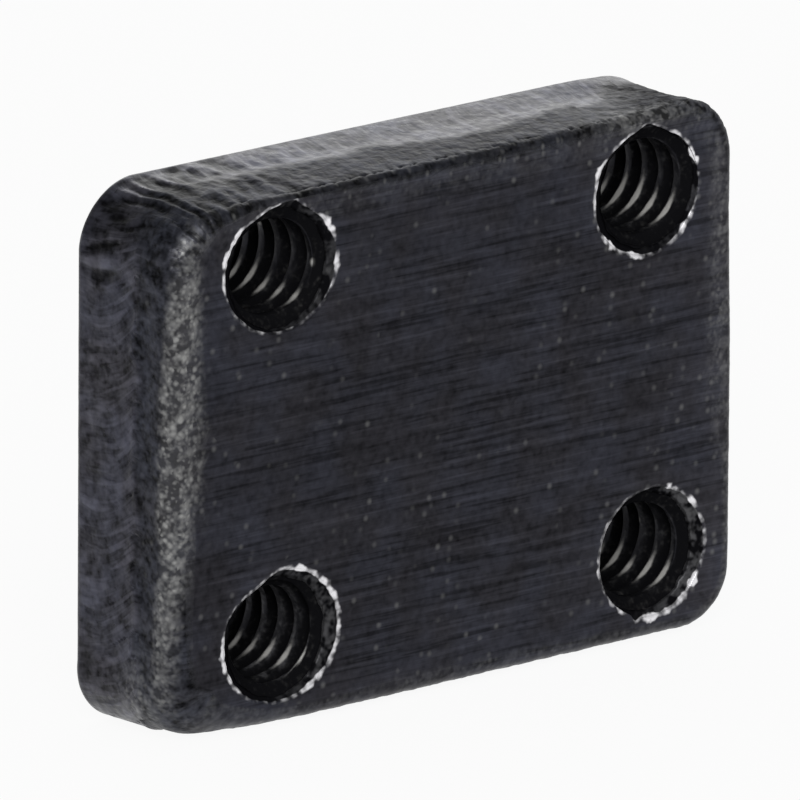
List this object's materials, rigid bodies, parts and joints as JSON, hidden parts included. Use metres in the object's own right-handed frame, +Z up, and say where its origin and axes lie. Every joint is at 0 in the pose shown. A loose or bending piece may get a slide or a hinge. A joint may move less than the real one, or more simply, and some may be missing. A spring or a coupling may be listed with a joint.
{
  "type": "mounting block",
  "caption": "Thick rectangular steel mounting block with rounded corners, a ground face and tapped through holes near its corners.",
  "frame": {"origin": "middle of the block in plan, on the long edge that it stands on", "axes": "+X along the width, +Y from the ground front face to the back face, +Z up along the height"},
  "size_m": [0.0382, 0.0074, 0.0285],
  "materials": {
    "black_oxide_steel": "black oxide over a ground face, bare at the hole rims"
  },
  "bodies": {
    "root": {"mounting_block": "black_oxide_steel"}
  },
  "joints": []
}
